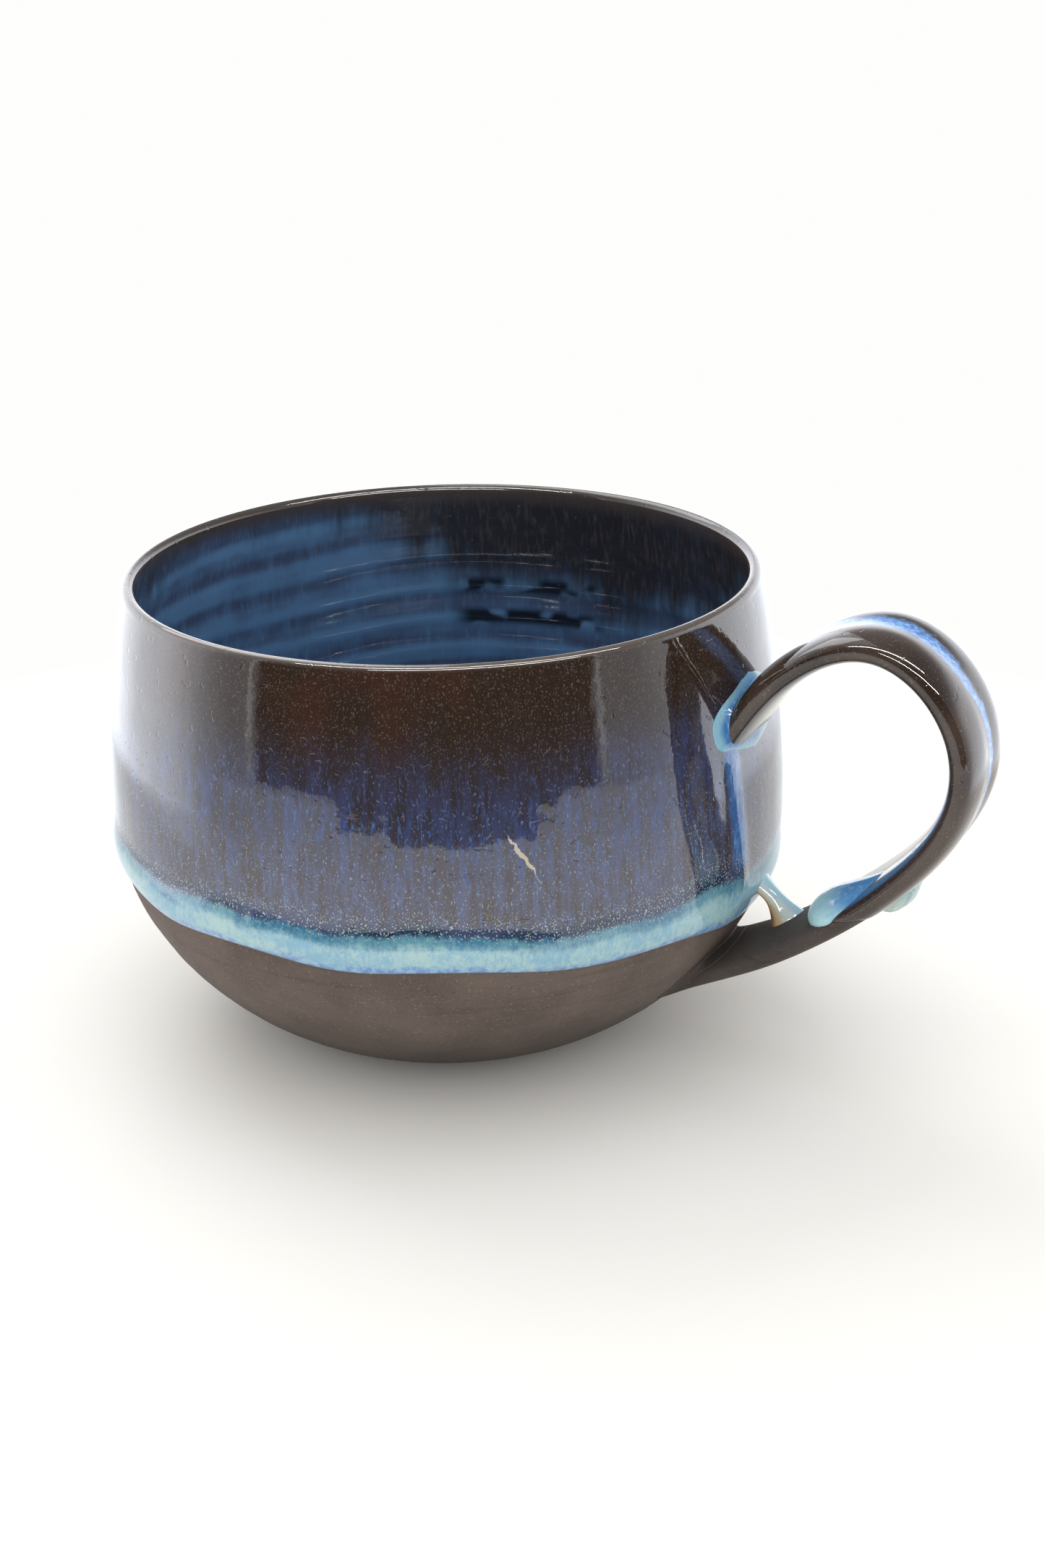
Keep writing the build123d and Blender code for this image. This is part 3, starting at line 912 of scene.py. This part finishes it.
def strap_glaze():
    """Coat on the strap: brown, with a blue streak along the groove and blue along the inner edges."""
    s = Shade("strap_glaze")
    down = s.field("down")
    fleck = s.grain(3.2, 0.0, shift=5)
    clouds = s.grain(0.10, 2.0)
    brown = s.mix(s.step(clouds, 0.35, 0.65), rgb(0.030, 0.018, 0.013), rgb(0.060, 0.040, 0.030))
    brown = s.mix(s.step(fleck, 0.69, 0.77, 0, 0.5), brown, rgb(0.17, 0.14, 0.11))
    wander = s.calc("MULTIPLY_ADD", s.grain(0.12, 4.0, 0.65, shift=8), 4.4, -2.2)
    line = s.calc("ABSOLUTE", s.calc("SUBTRACT", s.calc("ADD", s.y, wander), 0.6))
    outer = s.field("outer")
    half = s.step(down, 30, 64, 1.15, 3.6)
    line = s.calc("DIVIDE", line, half)
    streak = s.calc("MULTIPLY", s.step(line, 1.0, 0.25), outer)
    mottle = s.grain(1.1, 4.0, 0.75, stretch=(1, 2, 1))
    streak = s.calc("MULTIPLY", streak, s.step(mottle, 0.3, 0.55, 0.3, 1.0))
    blue = s.mix(s.step(mottle, 0.5, 0.7), rgb(0.15, 0.36, 0.84), rgb(0.48, 0.70, 0.95))
    colour = s.mix(streak, brown, blue)
    inner_edge = s.calc("MULTIPLY", s.step(s.field("rim"), 0.4, 0.9), s.step(down, 62, 30, 0.1, 0.9))
    colour = s.mix(inner_edge, colour, rgb(0.045, 0.17, 0.36))
    colour = s.mix(s.step(down, 3.2, 0.3, 0, 0.6), colour, rgb(0.07, 0.055, 0.05))
    normal = glossy_skin(s)
    return s.finish(colour, s.step(clouds, 0.3, 0.7, 0.03, 0.08), normal, IOR=1.65)


def pooled_glaze(name, late, early, field, low, high):
    """Thick glaze that goes from an early to a late colour along a field of the mesh."""
    s = Shade(name)
    span = high - low
    drift = s.calc("MULTIPLY_ADD", s.grain(0.45, 3.0, 0.6), 0.5 * span, -0.25 * span)
    place = s.calc("ADD", s.field(field), drift)
    threads = s.grain(1.4, 2.0, stretch=(1, 1, 0.3), shift=2)
    colour = s.mix(s.step(place, low, high), early, late)
    colour = s.mix(s.step(threads, 0.5, 0.8, 0, 0.5), colour, rgb(0.42, 0.62, 0.72))
    return s.finish(colour, s.step(threads, 0.3, 0.7, 0.05, 0.09), glossy_skin(s), IOR=1.7)


def web_glaze():
    """Web of glaze: amber at its thin edge, then cream and pale blue."""
    s = Shade("web_glaze")
    across = s.field("across")
    place = s.calc("ADD", across, s.calc("MULTIPLY_ADD", s.grain(0.5, 2.0), 0.2, -0.1))
    colour = s.mix(s.step(place, 0.08, 0.3), rgb(0.34, 0.135, 0.03), rgb(0.66, 0.50, 0.28))
    colour = s.mix(s.step(place, 0.36, 0.62), colour, rgb(0.72, 0.82, 0.80))
    colour = s.mix(s.step(place, 0.7, 1.0), colour, rgb(0.45, 0.70, 0.84))
    return s.finish(colour, 0.07, glossy_skin(s), IOR=1.6)


place(bowl_clay, bare_clay("bare_stoneware", 1.0, 1.0), "bare_stoneware", "clay_body")
place(liner, liner_glaze(), "liner_glaze", "liner_glaze")
place(outer_coat, running_glaze(), "outer_glaze", "outer_glaze", "glaze_roll")
place(strap_clay, bare_clay("wiped_stoneware", 0.55, 0.35), "handle_stoneware", "handle")
place(strap_coat, strap_glaze(), "handle_glaze", "handle_glaze")
place(
    seam_pool,
    pooled_glaze("seam_blue", rgb(0.045, 0.19, 0.50), rgb(0.27, 0.54, 0.70), "across", 0.15, 0.75),
    "pooled_glaze",
    "seam_glaze",
    "upper_slip",
)
place(lower_smear, bare_clay("smeared_slip", 0.52, 0.35), "slip", "lower_slip")
place(
    drop_inner,
    pooled_glaze("drop_blue", rgb(0.46, 0.74, 0.78), rgb(0.08, 0.26, 0.56), "along", -6, 2),
    "pooled_glaze",
    "inner_drip",
)
place(
    drop_outer,
    pooled_glaze("drop_mint", rgb(0.52, 0.66, 0.58), rgb(0.30, 0.46, 0.52), "along", -5, 2),
    "pooled_glaze",
    "outer_drip",
)
place(web, web_glaze(), "bridge_glaze", "glaze_bridge")

# ---------------------------------------------------------------- studio


GROUND_R = 420.0
FADE_FROM, FADE_TO = 158.0, 205.0  # from the mug's axis


def ground():
    """Pale ground that fades into the pale surroundings away from the mug."""
    made = bmesh.new()
    bmesh.ops.create_circle(made, cap_ends=True, cap_tris=True, segments=96, radius=GROUND_R * MM)
    mesh = bpy.data.meshes.new("ground")
    made.to_mesh(mesh)
    made.free()
    piece = bpy.data.objects.new("ground", mesh)
    bpy.context.scene.collection.objects.link(piece)
    s = Shade("pale_ground")
    reach = s.node("ShaderNodeVectorMath", {0: s.spot}, operation="LENGTH").outputs["Value"]
    colour = s.mix(s.grain(0.02, 2.0), rgb(0.93, 0.925, 0.905), rgb(0.965, 0.96, 0.94))
    matt = s.node("ShaderNodeBsdfDiffuse", {"Color": colour})
    clear = s.node("ShaderNodeBsdfTransparent")
    fade = s.step(reach, FADE_FROM, FADE_TO)
    both = s.node("ShaderNodeMixShader", {0: fade, 1: matt.outputs[0], 2: clear.outputs[0]})
    s.node("ShaderNodeOutputMaterial", {0: both.outputs[0]})
    mesh.materials.append(s.material)


ground()

FRONT = -60.0  # azimuth of the side that is open to the dim room
world = bpy.data.worlds.new("studio")
bpy.context.scene.world = world
world.use_nodes = True
w = Graph(world.node_tree)

# Bearing from the front and height of each way out of the scene, in degrees
sky = w.node("ShaderNodeTexCoord").outputs["Generated"]
sky_x, sky_y, sky_z = w.node("ShaderNodeSeparateXYZ", {0: sky}).outputs
front = radians(FRONT)
ahead = w.calc("ADD", w.calc("MULTIPLY", sky_x, cos(front)), w.calc("MULTIPLY", sky_y, sin(front)))
aside = w.calc("ADD", w.calc("MULTIPLY", sky_x, -sin(front)), w.calc("MULTIPLY", sky_y, cos(front)))
bearing = w.calc("MULTIPLY", w.calc("ARCTAN2", aside, ahead), 180 / pi)
height = w.calc("MULTIPLY", w.calc("ARCSINE", sky_z), 180 / pi)

# Dim side of the room: its ragged lower edge is lowest in the middle, and a thin bright bar is at each end
ragged = w.node("ShaderNodeTexNoise", {"Vector": sky, "Scale": 14.0, "Detail": 3.0}).outputs[0]
near = w.calc("MULTIPLY", w.step(bearing, -38, -35), w.step(bearing, 37, 33))
middle = w.calc("MULTIPLY", w.step(bearing, -21, -19), w.step(bearing, 29, 26))
lowest = w.calc("MULTIPLY_ADD", near, -3.0, w.calc("MULTIPLY_ADD", middle, -2.6, -10.4))
above = w.calc("SUBTRACT", w.calc("MULTIPLY_ADD", ragged, 3.6, height), w.calc("ADD", lowest, 1.8))
dim = w.calc("MULTIPLY", w.step(bearing, -67, -64), w.step(bearing, 52, 49))
dim = w.calc("MULTIPLY", dim, w.step(above, -0.5, 0.5))
dim = w.calc("MULTIPLY", dim, w.step(height, 66, 52))
bars = w.calc("MULTIPLY", w.step(bearing, -69.0, -68.2), w.step(bearing, -66.6, -67.4))
bars_right = w.calc("MULTIPLY", w.step(bearing, 51.5, 52.3), w.step(bearing, 54, 53.2))
bars = w.calc("MULTIPLY", w.calc("ADD", bars, bars_right), w.step(height, 50, 35))
bars = w.calc("MULTIPLY", bars, w.step(height, -11, -6))

# Pale walls, brighter at both sides and below the horizon
right_side = w.calc("MULTIPLY", w.step(bearing, 60, 108, 0.0, 1.5), w.step(height, 12, 30, 1.0, 0.0))
sides = w.calc("ADD", w.step(bearing, -74, -110, 0.0, 2.0), right_side)
pale = w.calc("MULTIPLY", w.calc("ADD", sides, 0.7), w.step(height, 8, 42, 1.0, 0.42))
pale = w.calc("MAXIMUM", pale, w.step(height, -9, -13, 0.0, 1.05))
light = w.calc("MULTIPLY_ADD", w.calc("SUBTRACT", 0.06, pale), dim, pale)
light = w.calc("MULTIPLY_ADD", bars, 0.7, light)

# Reflections see the room, diffuse light comes from all round, and the camera sees plain pale surroundings
studio = w.node("ShaderNodeBackground", {"Color": (0.955, 0.985, 1.05, 1.0)})
w.tree.links.new(light, studio.inputs["Strength"])
soft = w.node("ShaderNodeBackground", {"Color": (1.0, 0.985, 0.96, 1.0)})
w.tree.links.new(w.step(bearing, 60, 130, 1.08, 1.2), soft.inputs["Strength"])
plain = w.node("ShaderNodeBackground", {"Color": (0.99, 0.99, 0.975, 1.0), "Strength": 1.0})
path = w.node("ShaderNodeLightPath").outputs
lit = w.node("ShaderNodeMixShader", {0: path["Is Glossy Ray"], 1: soft.outputs[0], 2: studio.outputs[0]})
both = w.node("ShaderNodeMixShader", {0: path["Is Camera Ray"], 1: lit.outputs[0], 2: plain.outputs[0]})
w.node("ShaderNodeOutputWorld", {0: both.outputs[0]})


def lamp(name, bearing, height, distance, wide, tall, watts, sheen_only=False):
    """Area lamp aimed at the mug from a bearing and a height in degrees."""
    data = bpy.data.lights.new(name, "AREA")
    data.shape = "RECTANGLE"
    data.size, data.size_y = wide, tall
    data.energy = watts
    piece = bpy.data.objects.new(name, data)
    level, rise = cos(radians(height)) * distance, sin(radians(height)) * distance
    spot = Vector((level * cos(radians(bearing)), level * sin(radians(bearing)), rise))
    aim = Vector((0.01, 0.0, 0.05))
    piece.location = spot + aim
    piece.rotation_euler = (-spot).to_track_quat("-Z", "Y").to_euler()
    piece.visible_diffuse = not sheen_only
    bpy.context.scene.collection.objects.link(piece)


lamp("strip_high", FRONT + 6, 74, 0.9, 1.5, 0.05, 10.0, sheen_only=True)
lamp("strip_low", FRONT + 10, 42, 0.9, 1.1, 0.035, 6.0, sheen_only=True)
lamp("window", 150, 48, 1.1, 0.7, 0.6, 3.5)

camera_data = bpy.data.cameras.new("camera")
camera_data.sensor_fit = "HORIZONTAL"
camera_data.sensor_width = 24
camera_data.lens = 49.83
camera_data.clip_start, camera_data.clip_end = 0.01, 20
camera = bpy.data.objects.new("camera", camera_data)
eye = Vector((0.16720, -0.28961, 0.17447))
forward = Vector((-0.43346, 0.81743, -0.37937))
right = Vector((0.88732, 0.46066, -0.02124))
up = right.cross(forward)
camera.matrix_world = Matrix.Translation(eye) @ Matrix((right, up, -forward)).transposed().to_4x4()
bpy.context.scene.collection.objects.link(camera)
bpy.context.scene.camera = camera
bpy.context.scene.view_settings.view_transform = "Standard"
